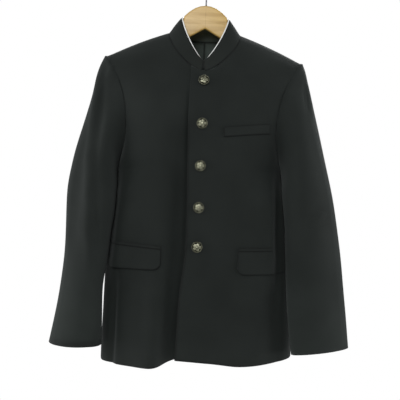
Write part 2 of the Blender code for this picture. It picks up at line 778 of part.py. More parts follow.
def hanger_body():
    half = hanger_outline()
    points = half + [(-x, z) for x, z in half[-2:0:-1]]
    curve = bpy.data.curves.new("hanger_body", "CURVE")
    curve.dimensions = "2D"
    curve.fill_mode = "BOTH"
    curve.extrude = WOOD_HALF * MM
    spline = curve.splines.new("POLY")
    spline.points.add(len(points) - 1)
    for target, (x, z) in zip(spline.points, points):
        target.co = (x * MM, z * MM, 0, 1)
    spline.use_cyclic_u = True
    obj = bpy.data.objects.new("hanger_body", curve)
    obj.rotation_euler = (math.radians(90), 0, 0)
    return add_node(obj, WOOD, 0.45)


def hook_path():
    """Stem from the wood, a bend to one side and the open round of the hook."""
    points = [(stem.x, 0, stem.z) for stem in HOOK_STEM]
    centre_z = -(HOOK_RADIUS - WIRE_RADIUS)
    for i in range(HOOK_STEPS + 1):
        t = math.radians(HOOK_START + HOOK_SWEEP * i / HOOK_STEPS)
        points.append((HOOK_RADIUS * math.cos(t), 0, centre_z + HOOK_RADIUS * math.sin(t)))
    return points


def build_buttons():
    for number, z in enumerate(BUTTON_Z, 1):
        button = turned(f"button_{number}", BUTTON, BUTTON_STEPS, BRASS, 0.4)
        normal = front_normal(LEFT, BUTTON_X, z)
        centre = on_front(LEFT, BUTTON_X, z, BUTTON_SHANK + BUTTON_STAND)
        button.location = centre * MM
        button.rotation_euler = (math.atan2(-normal[1], normal[2]), 0, 0)


def build_body():
    for side, name in ((LEFT, "left"), (RIGHT, "right")):
        outer, inner = body_wall(side, FRONT_GRIDS[side], front_angles(), LOWER_ROWS, False)
        wall(f"front_{name}", outer, inner, BODY_BLACK)
        back = back_grid(side)
        outer, inner = body_wall(side, back, back_angles(), LOWER_ROWS, True)
        wall(f"back_{name}", outer, inner, BODY_BLACK)


def build_sleeves():
    for side, name in ((LEFT, "left"), (RIGHT, "right")):
        grid, into = sleeve_tube(side, SLEEVE_RINGS)
        count = grid.shape[1]
        front_seam = int(np.argmin(abs(sleeve_angles() - 180)))
        back_seam = int(np.argmin(abs(sleeve_angles() - BACK_SLEEVE_SEAM)))
        top = list(range(back_seam, count)) + list(range(front_seam + 1))
        under = list(range(front_seam, back_seam + 1))
        wall(f"sleeve_{name}_top", *sleeve_half(grid, into, top), SLEEVE_BLACK)
        wall(f"sleeve_{name}_under", *sleeve_half(grid, into, under), SLEEVE_BLACK)


def build_collar():
    outer, inner = collar_faces(COLLAR_ROWS)
    wall("collar", outer, inner, TRIM_BLACK)
    middle = (outer[1:-1, -1] + inner[1:-1, -1]) / 2
    rise = outer[1:-1, -1] - outer[1:-1, 0]
    rise /= np.linalg.norm(rise, axis=1, keepdims=True)
    path = middle + rise * (PIPING_RADIUS + PIPING_RISE)
    wire("collar_piping", path, PIPING_RADIUS, CORD_WHITE, 0.5)


def build_pockets():
    welt_top = ((WELT_INNER_X, WELT_INNER_Z + WELT_HEIGHT), (WELT_OUTER_X, WELT_OUTER_Z + WELT_HEIGHT))
    wall("chest_welt", *strip_faces(LEFT, *welt_top, WELT_HEIGHT, 8, 2, 0, TRIM_OFFSET), TRIM_BLACK)
    for pocket in POCKETS:
        name = "left" if pocket.side == LEFT else "right"
        inner = (pocket.inner_x, pocket.inner_z)
        outer = (pocket.outer_x, pocket.outer_z)
        height = pocket.flap_height
        faces = strip_faces(pocket.side, inner, outer, height, TRIM_COLUMNS, 3, FLAP_CORNER, TRIM_OFFSET)
        wall(f"pocket_flap_{name}", *faces, TRIM_BLACK)
        rise = JET_HEIGHT + SEAM
        inner = (pocket.inner_x, pocket.inner_z + rise)
        outer = (pocket.outer_x, pocket.outer_z + rise)
        faces = strip_faces(pocket.side, inner, outer, JET_HEIGHT, TRIM_COLUMNS, 1, 0, TRIM_OFFSET)
        wall(f"pocket_jet_{name}", *faces, BODY_BLACK)


for old in list(bpy.data.objects):
    bpy.data.objects.remove(old)
group = bpy.data.collections.new("school_uniform_jacket")
bpy.context.scene.collection.children.link(group)
FRONT_GRIDS = {LEFT: front_grid(LEFT), RIGHT: front_grid(RIGHT)}
build_body()
build_sleeves()
build_collar()
build_pockets()
build_buttons()
hanger_body()
wire("hanger_hook", hook_path(), WIRE_RADIUS, STEEL, 0.3)
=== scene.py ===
"""Looks of the school uniform jacket on its hanger: cloth, creases, buttons, wood, light and camera."""

import json
import math
from collections import namedtuple

import bmesh
import bpy
import numpy as np
from mathutils import Matrix, Vector, noise
from mathutils.kdtree import KDTree

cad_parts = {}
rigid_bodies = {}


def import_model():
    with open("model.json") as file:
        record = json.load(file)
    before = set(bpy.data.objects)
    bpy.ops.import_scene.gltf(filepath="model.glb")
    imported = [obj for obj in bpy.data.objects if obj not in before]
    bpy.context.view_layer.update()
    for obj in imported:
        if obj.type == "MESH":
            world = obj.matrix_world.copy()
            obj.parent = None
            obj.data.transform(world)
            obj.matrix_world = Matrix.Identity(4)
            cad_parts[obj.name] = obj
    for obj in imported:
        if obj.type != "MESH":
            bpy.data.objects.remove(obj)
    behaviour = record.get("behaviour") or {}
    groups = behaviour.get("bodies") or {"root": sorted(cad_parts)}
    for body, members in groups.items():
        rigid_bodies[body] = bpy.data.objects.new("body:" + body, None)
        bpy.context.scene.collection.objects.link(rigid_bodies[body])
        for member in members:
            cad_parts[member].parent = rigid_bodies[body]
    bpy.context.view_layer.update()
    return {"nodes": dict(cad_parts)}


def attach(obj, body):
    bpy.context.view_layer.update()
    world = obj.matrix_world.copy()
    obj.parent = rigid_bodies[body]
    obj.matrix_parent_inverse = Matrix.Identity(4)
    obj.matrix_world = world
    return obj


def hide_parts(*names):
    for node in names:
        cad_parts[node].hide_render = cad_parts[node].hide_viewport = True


for startup in list(bpy.data.objects):
    bpy.data.objects.remove(startup)
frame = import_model()

# Lengths of the cloth and trim are in millimetres, places of lamps and camera in metres, angles in degrees
MM = 0.001
BODY = "root"

# Cloth shells: subdivision levels, depth of pressed edges, flare of the bottom, width of a dark line of
# painted shade along seams and edges
Shell = namedtuple("Shell", "node slot levels press flare line")
SHELLS = (
    Shell("back_left", "wool_body", 3, 0.8, 0.0, 2.6),
    Shell("back_right", "wool_body", 3, 0.8, 0.0, 2.6),
    Shell("front_right", "wool_body", 3, 1.0, 0.0, 2.6),
    Shell("front_left", "wool_body", 3, 1.0, 0.0, 2.6),
    Shell("sleeve_left_top", "wool_sleeve", 2, 1.4, 0.0, 2.6),
    Shell("sleeve_left_under", "wool_sleeve", 2, 1.4, 0.0, 2.6),
    Shell("sleeve_right_top", "wool_sleeve", 2, 1.4, 0.0, 2.6),
    Shell("sleeve_right_under", "wool_sleeve", 2, 1.4, 0.0, 2.6),
    Shell("collar", "wool_collar", 3, 0.5, 0.0, 1.4),
    Shell("chest_welt", "wool_trim", 3, 0.1, 0.8, 1.3),
    Shell("pocket_flap_left", "wool_trim", 3, 0.1, 2.0, 1.3),
    Shell("pocket_flap_right", "wool_trim", 3, 0.1, 2.0, 1.3),
    Shell("pocket_jet_left", "wool_trim", 3, -0.5, 0.0, 1.3),
    Shell("pocket_jet_right", "wool_trim", 3, -0.5, 0.0, 1.3),
)

# Flat cut of each cloth panel, in metres and square metres, and what it hangs on
Sheet = namedtuple("Sheet", "node width length area rests_on")

# Making the shells: welding, pairing of triangles, the angle that parts a wall's faces from its rim, fitting
WELD = 0.02
PAIR_ANGLE = 40
PAIR_SHAPE_ANGLE = 120
RIM_ANGLE = 55
COLLAR_RIM_ANGLE = 38
FIT_STEPS = 3
OUTER, INNER, RIM = 0, 1, 2

# Creases in the front view: ends, half width and height, a ridge above zero and a trough below
Crease = namedtuple("Crease", "group facing x0 z0 x1 z1 half depth")
FRONT, REAR, TO_RIGHT, TO_LEFT = (0, -1), (0, 1), (-1, 0), (1, 0)
CREASES = (
    Crease("front_right", FRONT, -20, -290, -42, -830, 20, -6.0),
    Crease("front_right", FRONT, -24, -250, -20, -480, 6, -4.5),
    Crease("front_right", FRONT, -20, -440, -20, -610, 6, -4.5),
    Crease("front_right", FRONT, -20, -570, -34, -830, 7, -6.0),
    Crease("front", FRONT, 150, -590, 168, -770, 16, -4.0),
    Crease("front", FRONT, 120, -600, 140, -780, 14, 2.0),
    Crease("front", FRONT, -120, -215, -95, -330, 26, 1.6),
    Crease("front", FRONT, -60, -260, -50, -420, 18, -1.4),
    Crease("front", FRONT, 60, -230, 110, -300, 26, 1.4),
    Crease("front", FRONT, -128, -620, -120, -780, 14, 1.6),
    Crease("front", FRONT, -160, -600, -164, -900, 8, -7.0),
    Crease("front", FRONT, -100, -620, -98, -770, 12, -1.2),
    Crease("back", REAR, -110, -330, -95, -640, 22, -3.0),
    Crease("back", REAR, -70, -420, -66, -760, 18, 2.2),
    Crease("back", REAR, 85, -300, 92, -600, 24, -2.6),
    Crease("back", REAR, 125, -480, 120, -770, 18, 2.4),
    Crease("back", REAR, -150, -250, -60, -215, 20, -1.6),
    Crease("back", REAR, 150, -255, 70, -212, 18, -1.4),
    Crease("sleeve", FRONT, -200, -195, -207, -420, 9, -4.0),
    Crease("sleeve", FRONT, -207, -370, -191, -640, 9, -4.0),
    Crease("sleeve", FRONT, -212, -195, -221, -420, 9, 5.5),
    Crease("sleeve", FRONT, -222, -370, -206, -640, 10, 4.5),
    Crease("sleeve", FRONT, -222, -480, -192, -535, 12, -3.0),
    Crease("sleeve", FRONT, -240, -520, -205, -560, 12, 2.2),
    Crease("sleeve", FRONT, 207, -215, 214, -300, 6, -2.4),
    Crease("sleeve", FRONT, 216, -220, 224, -300, 6, 1.4),
    Crease("sleeve", FRONT, 250, -470, 205, -520, 14, -2.0),
    Crease("sleeve", FRONT, 262, -520, 215, -560, 16, 1.4),
    Crease("sleeve", TO_LEFT, -170, -380, -168, -540, 14, 2.0),
    Crease("sleeve", TO_LEFT, -180, -540, -196, -1000, 18, 6.7),
    Crease("sleeve", TO_RIGHT, 171, -375, 176, -560, 14, 1.5),
    Crease("sleeve", TO_RIGHT, 182, -520, 205, -900, 18, 3.0),
    Crease("front_left", TO_LEFT, 166, -395, 172, -900, 22, 4.5),
    Crease("front_left", FRONT, 160, -385, 166, -690, 8, -9.0),
    Crease("pocket", FRONT, 160, -385, 166, -690, 8, -9.0),
    Crease("back_left", TO_LEFT, 166, -395, 172, -900, 22, 4.5),
    Crease("sleeve", REAR, -250, -470, -205, -520, 12, -3.5),
    Crease("sleeve", REAR, -255, -520, -205, -560, 12, -2.5),
    Crease("sleeve", REAR, 268, -480, 215, -520, 12, -3.2),
    Crease("sleeve", REAR, 275, -540, 220, -575, 13, -2.4),
    Crease("sleeve", REAR, -225, -240, -245, -430, 9, -2.2),
    Crease("sleeve", REAR, 228, -240, 250, -430, 9, -2.0),
)
FACING_GAIN = 1.6
CREASE_TAPER = 0.7
WAVE_SIZE = 75.0
WAVE_HEIGHT = 0.7

# Edges of the cloth: width of the pressed edge, and how far rims are moved out to close the seams
PRESS_WIDTH = 4.0
SEAM_CLOSING = 0.2
COLLAR_SEAM_CLOSING = 0.9

# Fold of each front beside its sleeve: heights, its middle there, its width and how far it stands forward
SIDE_FOLD_Z = (-655.0, -590.0, -455.0, -412.0)
SIDE_FOLD_X = (166.0, 162.0, 152.0, 151.0)
SIDE_FOLD_RISE = (0.0, 1.0, 1.0, 0.0)
SIDE_FOLD_LEFT = -8.0
SIDE_FOLD_HALF = (46.0, 11.0)
SIDE_FOLD_OUT = 18.0

# Ends of the collar at centre front: drawn together, with a small notch at the bottom, and drawn down
COLLAR_CLOSING = 0.75
COLLAR_CLOSING_HALF = 5.0
COLLAR_NOTCH_Z = (-212.0, -204.0)
COLLAR_NOTCH = -1.4
COLLAR_END_WIDTH = 13.2
COLLAR_END_Z = (-191.0, -211.9)
COLLAR_END_DROP = (0.0, -2.9, -2.9)

# The flap that hangs lower toward its outer end
DROPPED = "pocket_flap_right"
FLAP_DROP = 9.0

# The front that laps over the other: its edge lies soft at the top, and its corner follows the neck seam
LAPPED = "front_left"
LAP_INNER_X = 30.0
LAP_LINE_Z = (-295.0, -345.0)
LAP_SINK = 2.2
LAP_SINK_WIDTH = 9.0
LAP_RISE_Z = (-262.0, -214.0)
NECK_X = 74.0
NECK_Z = -129.0
FRONT_NECK_Z = -215.5
NECK_CURVE = 1.38

# Piping and hook: sides of the piping's section, how far its ends are drawn out, and angles of kept edges
PIPING_SIDES = 6
PIPING_REACH = 4.0
WIRE_LEVELS = 2
WIRE_CREASE_ANGLE = 70
WIRE_SHARP_ANGLE = 60

# Button profile from the middle of its face round to the shank: radius and height
BUTTON_PROFILE = ((0.0, 5.1), (3.0, 4.95), (6.0, 4.25), (8.4, 3.0), (9.15, 2.3), (9.45, 2.75), (10.0, 2.95),
                  (10.4, 2.5), (10.5, 1.9), (10.0, 0.9), (7.0, 0.55), (2.2, 0.5), (2.1, -1.3), (0.0, -1.4))
BUTTON_FACE_END = 8
BUTTON_RINGS = 80
BUTTON_STEPS = 96
BUTTONS = 5

# Rosette on the button's face: petals round a boss, inside a ring of beads
RELIEF_HEIGHT = 0.55
PLAIN_RELIEF = 0.25
PETALS = 5
PETAL_NECK = 4.2
PETAL_GROWTH = 4.4
PETAL_ROUNDNESS = 0.6
PETAL_SLOPE = 0.6
PETAL_START = 2.5
PETAL_START_SLOPE = 0.5
PETAL_LOW = 0.35
VEIN_DEPTH = 0.85
VEIN_WIDTH = 0.03
BOSS_RADIUS = 1.9
BOSS_SLOPE = 0.4
BEADS = 48
BEAD_RING_RADIUS = 9.9
BEAD_RING_HALF = 0.45
BEAD_DEPTH = 0.4

# Rounded edges of the hanger's wood
WOOD_ROUNDING = 3.2
WOOD_ROUNDING_STEPS = 5
WOOD_FLAT_ANGLE = 1
WOOD_EDGE_ANGLE = 60
WOOD_SHARP_ANGLE = 35

# Wool: texture scales, painted shade along seams, a paler lining that is partly painted light, and where
# painted light grows on the lower sleeves, in metres
RIB_SCALE = 360.0
FIBRE_SCALE = 1400.0
PATCH_SCALE = 11.0
SEAM_PAINTED_SHADE = 0.25
LINING_AND_PAINTED_LIGHT = 5.0
PAINTED_LIGHT_FROM = -0.56
PAINTED_LIGHT_TO = -0.72
# painted light on the lower sleeves
CUFF_PAINTED_LIGHT = 1.35
BODY_TONES = ((0.0055, 0.0074, 0.0065), (0.0138, 0.0175, 0.0157))
# painted light: the sleeves' tones are lighter than the body's, as the same wool where more light falls
SLEEVE_TONES = ((0.0061, 0.0081, 0.0072), (0.0151, 0.0189, 0.0171))
COLLAR_TONES = ((0.0058, 0.0077, 0.0067), (0.0143, 0.0179, 0.0158))

# Brass and wood: how much each texture counts, and the joint in the wood's middle, in metres
STAIN_SHARE = 0.5
STAIN_MEAN = 0.25
RING_SHARE = 0.3
PORE_SHARE = 0.2
JOINT_HALF = 0.00045
JOINT_SHADE = 0.25

# Lamps, with what they point at
Lamp = namedtuple("Lamp", "name place target size power")
LAMPS = (
    Lamp("key", (-0.45, -2.5, 0.5), (0, 0, -0.45), 1.3, 38),
    Lamp("side_right", (-2.0, -0.3, -0.4), (0, 0, -0.5), 1.4, 20),
    Lamp("side_left", (2.0, -0.3, -0.4), (0, 0, -0.5), 1.4, 18),
    Lamp("behind", (0.6, 2.0, 0.8), (0, 0, -0.45), 1.6, 40),
)
SKY_COLOUR = (0.97, 0.99, 1, 1)
SKY_STRENGTH = 0.25

# Camera, level with the jacket's middle and turned as the photograph is
CAMERA_PLACE = (0.0041, -1.85, -0.4716)
CAMERA_ROLL = 2.4
VIEW_WIDTH = 0.828
SENSOR = 36.0

# Round floor below the jacket, in metres
FLOOR_Z = -1.05
FLOOR_RADIUS = 0.60
FLOOR_SIDES = 96


# Materials

class Finish:
    """A new procedural material with its shader, and short ways to add nodes to it."""

    def __init__(self, name):
        self.material = bpy.data.materials.new(name)
        self.material.use_nodes = True
        self.nodes = self.material.node_tree.nodes
        self.links = self.material.node_tree.links
        self.shader = self.nodes["Principled BSDF"]

    def set(self, values):
        """Sets sockets of the shader to values that are the same all over."""
        for socket, value in values.items():
            self.shader.inputs[socket].default_value = value

    def feed(self, socket, value):
        """Links a value to a socket of the shader."""
        self.links.new(value, self.shader.inputs[socket])

    def texture(self, kind, scale, stretch=(1, 1, 1), **settings):
        """A procedural texture in the object's own coordinates."""
        place = self.nodes.new("ShaderNodeTexCoord")
        mapping = self.nodes.new("ShaderNodeMapping")
        mapping.inputs["Scale"].default_value = stretch
        self.links.new(place.outputs["Object"], mapping.inputs["Vector"])
        node = self.nodes.new(kind)
        node.inputs["Scale"].default_value = scale
        for name, value in settings.items():
            if name in node.inputs:
                node.inputs[name].default_value = value
            else:
                setattr(node, name, value)
        self.links.new(mapping.outputs["Vector"], node.inputs["Vector"])
        return node.outputs["Fac"]

    def coordinate(self, axis):
        """One of the object's own coordinates."""
        place = self.nodes.new("ShaderNodeTexCoord")
        parts = self.nodes.new("ShaderNodeSeparateXYZ")
        self.links.new(place.outputs["Object"], parts.inputs["Vector"])
        return parts.outputs[axis]

    def attribute(self, name):
        """A value that the mesh carries."""
        node = self.nodes.new("ShaderNodeAttribute")
        node.attribute_name = name
        return node.outputs["Fac"]

    def combine(self, kind, first, second):
        """One step of arithmetic on values or numbers."""
        node = self.nodes.new("ShaderNodeMath")
        node.operation = kind
        for socket, value in zip(node.inputs, (first, second)):
            if isinstance(value, (int, float)):
                socket.default_value = value
            else:
                self.links.new(value, socket)
        return node.outputs[0]

    def mean(self, first, second):
        return self.combine("MULTIPLY", self.combine("ADD", first, second), 0.5)

    def ramp(self, value, stops):
        """A colour for each value, between stops of a position and a colour."""
        node = self.nodes.new("ShaderNodeValToRGB")
        self.links.new(value, node.inputs["Fac"])
        elements = node.color_ramp.elements
        while len(elements) < len(stops):
            elements.new(0.5)
        for element, (position, colour) in zip(elements, stops):
            element.position = position
            element.color = (*colour, 1)
        return node.outputs["Color"]

    def spread(self, value, low, high, start=0.0, end=1.0):
        """Maps a value from the range of start to end onto low to high."""
        node = self.nodes.new("ShaderNodeMapRange")
        self.links.new(value, node.inputs["Value"])
        for name, number in (("From Min", start), ("From Max", end), ("To Min", low), ("To Max", high)):
            node.inputs[name].default_value = number
        return node.outputs["Result"]

    def scaled(self, colour, factor):
        """A colour made lighter or darker by a factor."""
        node = self.nodes.new("ShaderNodeVectorMath")
        node.operation = "SCALE"
        self.links.new(colour, node.inputs[0])
        self.links.new(factor, node.inputs["Scale"])
        return node.outputs["Vector"]

    def bump(self, height, strength, distance):
        node = self.nodes.new("ShaderNodeBump")
        node.inputs["Strength"].default_value = strength
        node.inputs["Distance"].default_value = distance
        self.links.new(height, node.inputs["Height"])
        self.feed("Normal", node.outputs["Normal"])


def wool(name, tones, cuff_light=1.0):
    """Black wool serge: ribs, loose fibres, soft patches, painted shade along seams and edges, a paler
    lining that is partly painted light, and painted light on the lower sleeves.
    """
    finish = Finish(name)
    dark, light = tones
    ribs = finish.texture("ShaderNodeTexWave", RIB_SCALE, bands_direction="DIAGONAL", Distortion=1.2)
    fibres = finish.texture("ShaderNodeTexNoise", FIBRE_SCALE, Detail=3.0)
    patches = finish.texture("ShaderNodeTexNoise", PATCH_SCALE, Detail=4.0)
    weave = finish.mean(ribs, fibres)
    tone = finish.mean(weave, patches)
    # painted shade: the wool is darker along seams, edges and rims, where shade falls in the gaps
    seams = finish.spread(finish.attribute("edge"), 1.0, SEAM_PAINTED_SHADE)
    # a paler lining that is partly painted light: the inner faces are made lighter for the light that falls
    # inside the neck
    lining = finish.spread(finish.attribute("lining"), 1.0, LINING_AND_PAINTED_LIGHT)
    # painted light: the sleeves grow lighter lower down, where the lower sleeves catch more light
    lower = finish.spread(finish.coordinate("Z"), 1.0, cuff_light, PAINTED_LIGHT_FROM, PAINTED_LIGHT_TO)
    shade = finish.combine("MULTIPLY", finish.combine("MULTIPLY", seams, lining), lower)
    colour = finish.ramp(tone, ((0.25, dark), (0.75, light)))
    finish.feed("Base Color", finish.scaled(colour, shade))
    finish.feed("Roughness", finish.spread(tone, low=0.92, high=0.74))
    finish.bump(weave, strength=0.35, distance=0.0003)
    finish.set({"Specular IOR Level": 0.22, "Sheen Weight": 0.08, "Sheen Roughness": 0.55,
                "Sheen Tint": (0.80, 0.88, 0.86, 1)})
    return finish.material


def white_cord(name):
    """White twisted cord, slightly soiled."""
    finish = Finish(name)
    twist = finish.texture("ShaderNodeTexWave", scale=260.0, bands_direction="DIAGONAL", Distortion=0.6)
    soil = finish.texture("ShaderNodeTexNoise", scale=60.0, Detail=5.0)
    finish.feed("Base Color", finish.ramp(soil, ((0.3, (0.86, 0.87, 0.85)), (0.7, (0.94, 0.95, 0.94)))))
    finish.feed("Roughness", finish.spread(soil, low=0.62, high=0.42))
    finish.bump(twist, strength=0.25, distance=0.0002)
    return finish.material


def brass(name):
    """Antique brass: dark in the recesses of the relief, rubbed bright on its tops."""
    finish = Finish(name)
    stain = finish.texture("ShaderNodeTexNoise", scale=420.0, Detail=6.0)
    uneven = finish.combine("MULTIPLY", stain, STAIN_SHARE)
    height = finish.combine("ADD", finish.attribute("relief"), uneven)
    height = finish.combine("SUBTRACT", height, STAIN_MEAN)
    stops = ((0.08, (0.014, 0.0145, 0.009)), (0.45, (0.115, 0.117, 0.072)), (0.95, (0.50, 0.50, 0.37)))
    finish.feed("Base Color", finish.ramp(height, stops))
    finish.feed("Roughness", finish.spread(height, low=0.62, high=0.36))
    finish.bump(stain, strength=0.15, distance=0.0002)
    finish.set({"Metallic": 0.9})
    return finish.material


def wood(name):
    """Pale varnished wood with grain along the arms and a fine joint in the middle."""
    finish = Finish(name)
    grain = finish.texture("ShaderNodeTexNoise", 14.0, (1.2, 16, 16), Detail=6.0, Distortion=0.8)
    rings = finish.texture("ShaderNodeTexWave", 9.0, (0.35, 2, 2), bands_direction="Z", Distortion=5.0)
    pores = finish.texture("ShaderNodeTexNoise", 160.0, (1, 14, 14), Detail=2.0)
    tone = finish.combine("ADD", finish.combine("MULTIPLY", rings, RING_SHARE), grain)
    tone = finish.combine("ADD", tone, finish.combine("MULTIPLY", pores, PORE_SHARE))
    middle = finish.combine("ABSOLUTE", finish.coordinate("X"), 0.0)
    joint = finish.combine("LESS_THAN", middle, JOINT_HALF)
    tone = finish.combine("SUBTRACT", tone, finish.combine("MULTIPLY", joint, JOINT_SHADE))
    stops = ((0.15, (0.26, 0.142, 0.027)), (0.5, (0.47, 0.290, 0.074)), (0.9, (0.60, 0.395, 0.118)))
    finish.feed("Base Color", finish.ramp(tone, stops))
    finish.feed("Roughness", finish.spread(tone, low=0.5, high=0.34))
    finish.bump(pores, strength=0.12, distance=0.0003)
    finish.set({"Coat Weight": 0.12, "Coat Roughness": 0.3})
    return finish.material


def steel(name):
    """Drawn steel wire."""
    finish = Finish(name)
    drawn = finish.texture("ShaderNodeTexNoise", 300.0, (1, 1, 0.15), Detail=4.0)
    finish.feed("Base Color", finish.ramp(drawn, ((0.3, (0.13, 0.13, 0.14)), (0.7, (0.24, 0.24, 0.25)))))
    finish.feed("Roughness", finish.spread(drawn, low=0.42, high=0.24))
    finish.bump(drawn, strength=0.1, distance=0.0001)
    finish.set({"Metallic": 1.0})
    return finish.material


def floor_finish(name):
    """Plain pale floor."""
    finish = Finish(name)
    mottle = finish.texture("ShaderNodeTexNoise", scale=6.0, Detail=4.0)
    finish.feed("Base Color", finish.ramp(mottle, ((0.3, (0.80, 0.80, 0.79)), (0.7, (0.85, 0.85, 0.84)))))
    finish.set({"Roughness": 0.8})
    return finish.material


FINISHES = {
    "wool_body": wool("wool_body_serge", BODY_TONES),
    "wool_sleeve": wool("wool_sleeve_serge", SLEEVE_TONES, CUFF_PAINTED_LIGHT),
    "wool_collar": wool("wool_collar_serge", COLLAR_TONES),
    "wool_trim": wool("wool_trim_serge", BODY_TONES),
    "white_piping": white_cord("white_cord"),
    "antique_brass": brass("antique_brass_relief"),
    "pale_wood": wood("varnished_wood"),
    "steel_wire": steel("drawn_steel"),
}


# Shells from the solids

def finish_piece(obj, node, slot):
    """Gives a piece its finish and its body, and hides the CAD node that it stands for."""
    obj.data.materials.clear()
    obj.data.materials.append(FINISHES[slot])
    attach(obj, BODY)
    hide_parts(node)


def link(name, data):
    obj = bpy.data.objects.new(name, data)
    bpy.context.scene.collection.objects.link(obj)
    return obj


def linked_mesh(solid, name):
    """An object of a bmesh, which is freed."""
    mesh = bpy.data.meshes.new(name)
    solid.to_mesh(mesh)
    solid.free()
    return link(name, mesh)


def add_levels(obj, levels):
    """Adds a subdivision that isn't applied yet."""
    finer = obj.modifiers.new("finer", "SUBSURF")
    finer.levels = levels
    finer.render_levels = levels


def apply_modifiers(obj):
    """Turns an object's modifiers into its mesh."""
    bpy.context.view_layer.update()
    mesh = bpy.data.meshes.new_from_object(obj.evaluated_get(bpy.context.evaluated_depsgraph_get()))
    obj.modifiers.clear()
    obj.data = mesh


def points_of(mesh):
    points = np.empty(len(mesh.vertices) * 3, np.float32)
    mesh.vertices.foreach_get("co", points)
    return points.reshape(-1, 3).astype(float)


def share_of(values, start, end):
    """How far values lie on the way from start to end, from 0 to 1."""
    return np.clip((values - start) / (end - start), 0, 1)


def bell(values, half):
    return np.exp(-((values / half) ** 2))


def axis_of(node, points):
    """Points at the heights of the given ones, on the middle line of the body or of a sleeve."""
    inside = np.zeros_like(points)
    inside[:, 2] = points[:, 2]
    if node.startswith("sleeve"):
        side = node.rsplit("_", 1)[0]
        tube = np.vstack([points_of(frame["nodes"][side + part].data) for part in ("_top", "_under")])
        order = np.argsort(tube[:, 2])
        tenth = len(order) // 10
        low, high = tube[order[:tenth]].mean(axis=0), tube[order[-tenth:]].mean(axis=0)
        share = (points[:, 2] - low[2]) / (high[2] - low[2])
        inside[:, :2] = low[:2] + share[:, None] * (high[:2] - low[:2])
    return inside


def welded(node):
    """The node's solid as a bmesh of quads, in metres, its triangles paired again."""
    solid = bmesh.new()
    solid.from_mesh(frame["nodes"][node].data)
    bmesh.ops.remove_doubles(solid, verts=solid.verts, dist=WELD * MM)
    bmesh.ops.join_triangles(solid, faces=solid.faces, angle_face_threshold=math.radians(PAIR_ANGLE),
                             angle_shape_threshold=math.radians(PAIR_SHAPE_ANGLE))
    solid.normal_update()
    return solid


def keep_edges(solid, angle):
    """Keeps the edges that turn by more than an angle sharp when the mesh is subdivided."""
    crease = solid.edges.layers.float.new("crease_edge")
    for edge in solid.edges:
        edge[crease] = 1.0 if edge.calc_face_angle(0.0) > math.radians(angle) else 0.0
    return crease


def regions_of(solid, crease):
    """Lists of faces that join without a kept edge between them."""
    regions = []
    waiting = set(solid.faces)
    while waiting:
        stack = [waiting.pop()]
        region = []
        while stack:
            face = stack.pop()
            region.append(face)
            for edge in face.edges:
                for other in edge.link_faces:
                    if other in waiting and edge[crease] < 0.5:
                        waiting.remove(other)
                        stack.append(other)
        regions.append(region)
    return regions


def mark_faces(solid, node):
    """Splits a wall at its sharp rim into outer, inner and rim faces, kept in the material index."""
    crease = keep_edges(solid, COLLAR_RIM_ANGLE if node == "collar" else RIM_ANGLE)
    regions = regions_of(solid, crease)
    scores = []
    for region in regions:
        centres = np.array([face.calc_center_median() for face in region])
        ways = np.array([face.normal * face.calc_area() for face in region])
        scores.append(float(((centres - axis_of(node, centres)) * ways).sum()))
    for region, score in zip(regions, scores):
        kind = OUTER if score == max(scores) else INNER if score == min(scores) else RIM
        for face in region:
            face.material_index = kind


def fit(obj, node):
    """Moves the points of a coarse mesh until its smooth surface passes where they were.

    A sleeve is fitted whole, the collar only sideways, the others whole on rims and sideways between.
    """
    target = points_of(obj.data)
    share = np.ones_like(target)
    if not node.startswith("sleeve"):
        share[:, 1:] = 0
        for face in obj.data.polygons:
            if face.material_index == RIM and node != "collar":
                share[list(face.vertices)] = 1
    for step in range(FIT_STEPS):
        bpy.context.view_layer.update()
        smooth = obj.evaluated_get(bpy.context.evaluated_depsgraph_get()).data
        short = (target - points_of(smooth)[:len(target)]) * share
        obj.data.vertices.foreach_set("co", (points_of(obj.data) + short).astype(np.float32).ravel())
        obj.data.update()


def subdivided(node, name, levels):
    """A finer copy of a CAD wall on the same form, with its rims kept."""
    solid = welded(node)
    mark_faces(solid, node)
    obj = linked_mesh(solid, name)
    for kind in (OUTER, INNER, RIM):
        obj.data.materials.append(None)
    add_levels(obj, levels)
    fit(obj, node)
    apply_modifiers(obj)
    return obj


def nearest(points, targets):
    """For each point, the index of the nearest target and how far off it is."""
    tree = KDTree(len(targets))
    for i, target in enumerate(targets):
        tree.insert(target, i)
    tree.balance()
    found = [tree.find(point)[1:] for point in points]
    return np.array([index for index, gap in found]), np.array([gap for index, gap in found])


def crease_lift(node, points, normals):
    """Height of the listed creases and of the cloth's soft waves."""
    lift = np.zeros(len(points))
    for crease in CREASES:
        if not node.startswith(crease.group):
            continue
        start = np.array([crease.x0, crease.z0], float)
        run = np.array([crease.x1, crease.z1], float) - start
        flat = points[:, [0, 2]] - start
        share = np.clip(flat @ run / (run @ run), 0, 1)
        off = np.linalg.norm(flat - share[:, None] * run, axis=1)
        facing = np.clip(normals[:, :2] @ np.array(crease.facing) * FACING_GAIN, 0, 1)
        taper = np.sin(math.pi * share) ** CREASE_TAPER
        lift += crease.depth * facing * taper * bell(off, crease.half)
    waves = np.array([noise.noise(Vector(point) / WAVE_SIZE) for point in points])
    return lift + WAVE_HEIGHT * waves


def lap_rise(points):
    """How far the lap's top corner is drawn up to the collar's seam, past the middle of the front."""
    across = np.clip(-points[:, 0] / NECK_X, 0, 1) ** (1 / NECK_CURVE)
    seam = NECK_Z + (FRONT_NECK_Z - NECK_Z) * (1 - across**2) ** (NECK_CURVE / 2)
    near = share_of(points[:, 2], *LAP_RISE_Z)
    return (seam - FRONT_NECK_Z) * near**2 * (3 - 2 * near)


